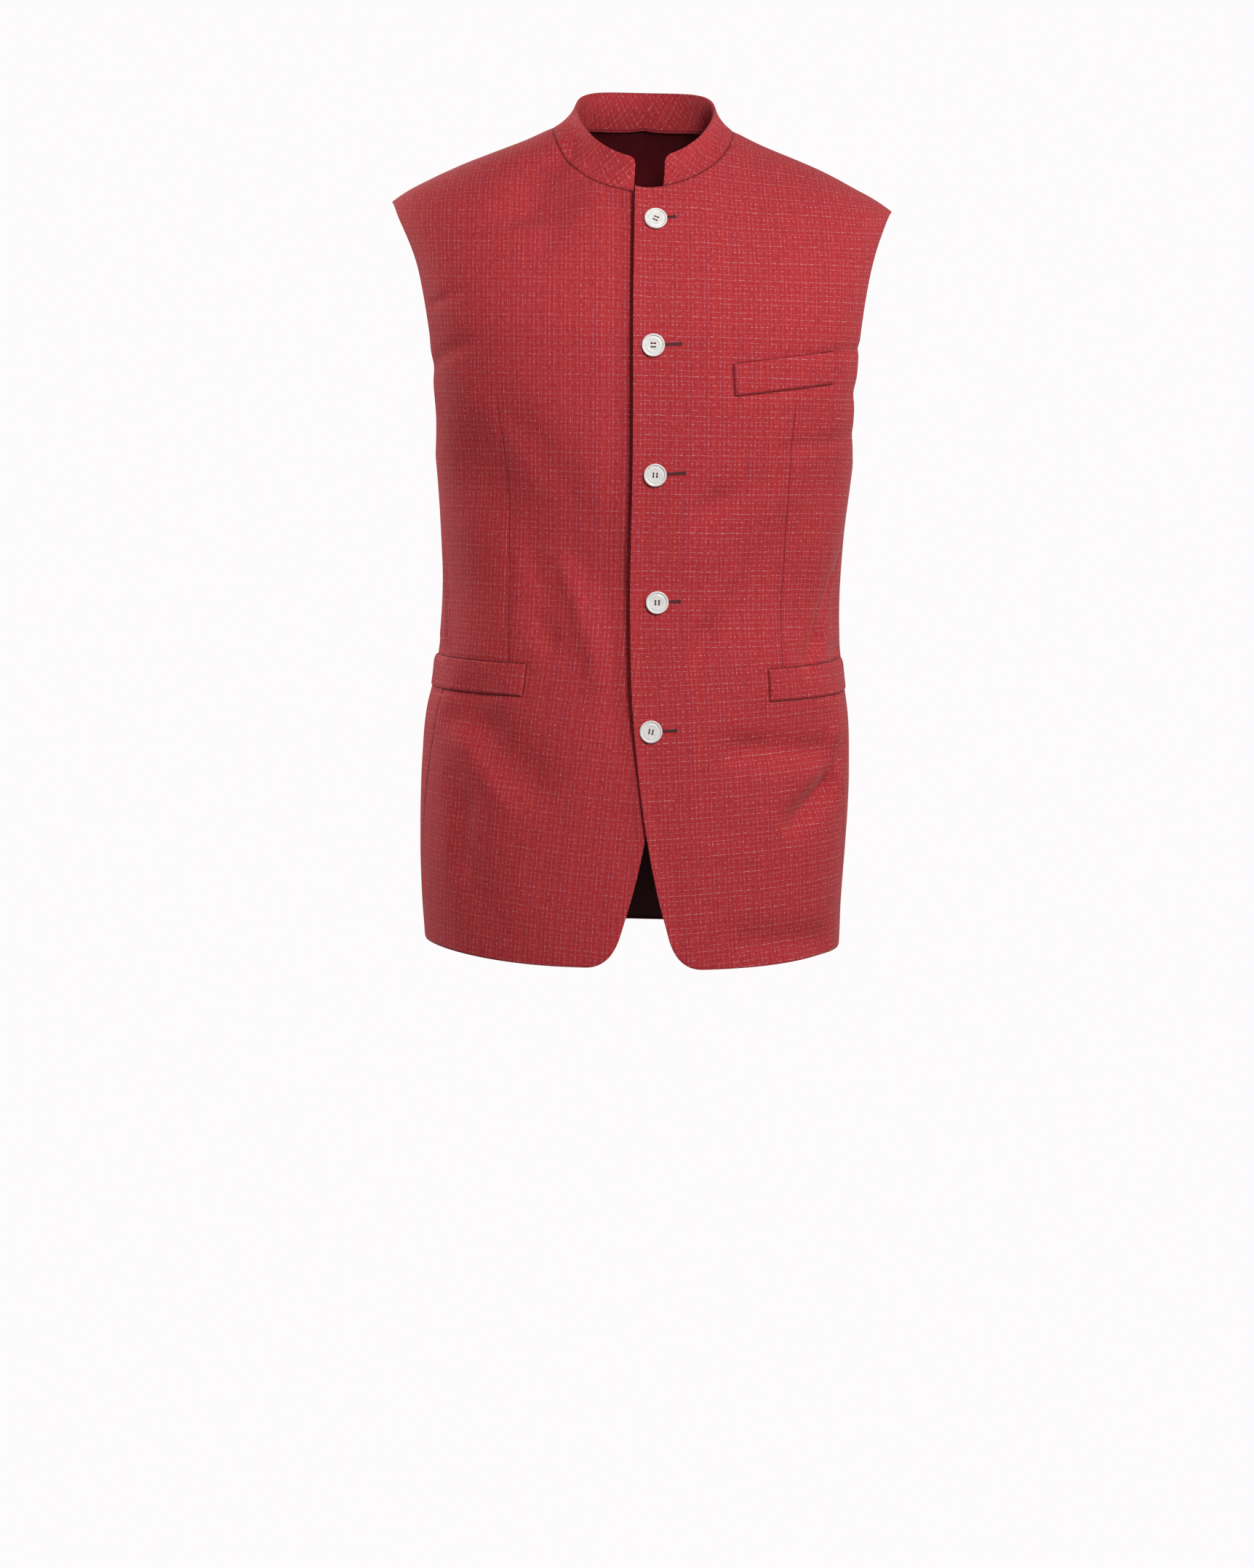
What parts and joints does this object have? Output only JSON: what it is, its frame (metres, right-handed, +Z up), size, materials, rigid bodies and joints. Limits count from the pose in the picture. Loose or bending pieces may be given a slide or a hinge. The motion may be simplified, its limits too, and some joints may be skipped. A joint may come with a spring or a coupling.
{
  "type": "nehru jacket",
  "caption": "Sleeveless buttoned jacket in red checked cloth with a stand-up collar and welt pockets, hollow as worn.",
  "frame": {"origin": "base of the neck, midway between the shoulder seams' inner ends, where the wearer's neck and shoulders hold the jacket", "axes": "+Z up, the front faces -Y, the wearer's left is +X"},
  "size_m": [0.4686, 0.2625, 0.8],
  "materials": {
    "checked_cloth": "woven red cloth with a fine broken check in pink and lavender, matt",
    "button_white": "white four-hole buttons with a raised rim"
  },
  "bodies": {
    "root": {"front_left": "checked_cloth", "front_right": "checked_cloth", "back": "checked_cloth", "collar": "checked_cloth", "chest_welt": "checked_cloth", "welt_left": "checked_cloth", "welt_right": "checked_cloth", "button_1": "button_white", "button_2": "button_white", "button_3": "button_white", "button_4": "button_white", "button_5": "button_white"}
  },
  "joints": []
}
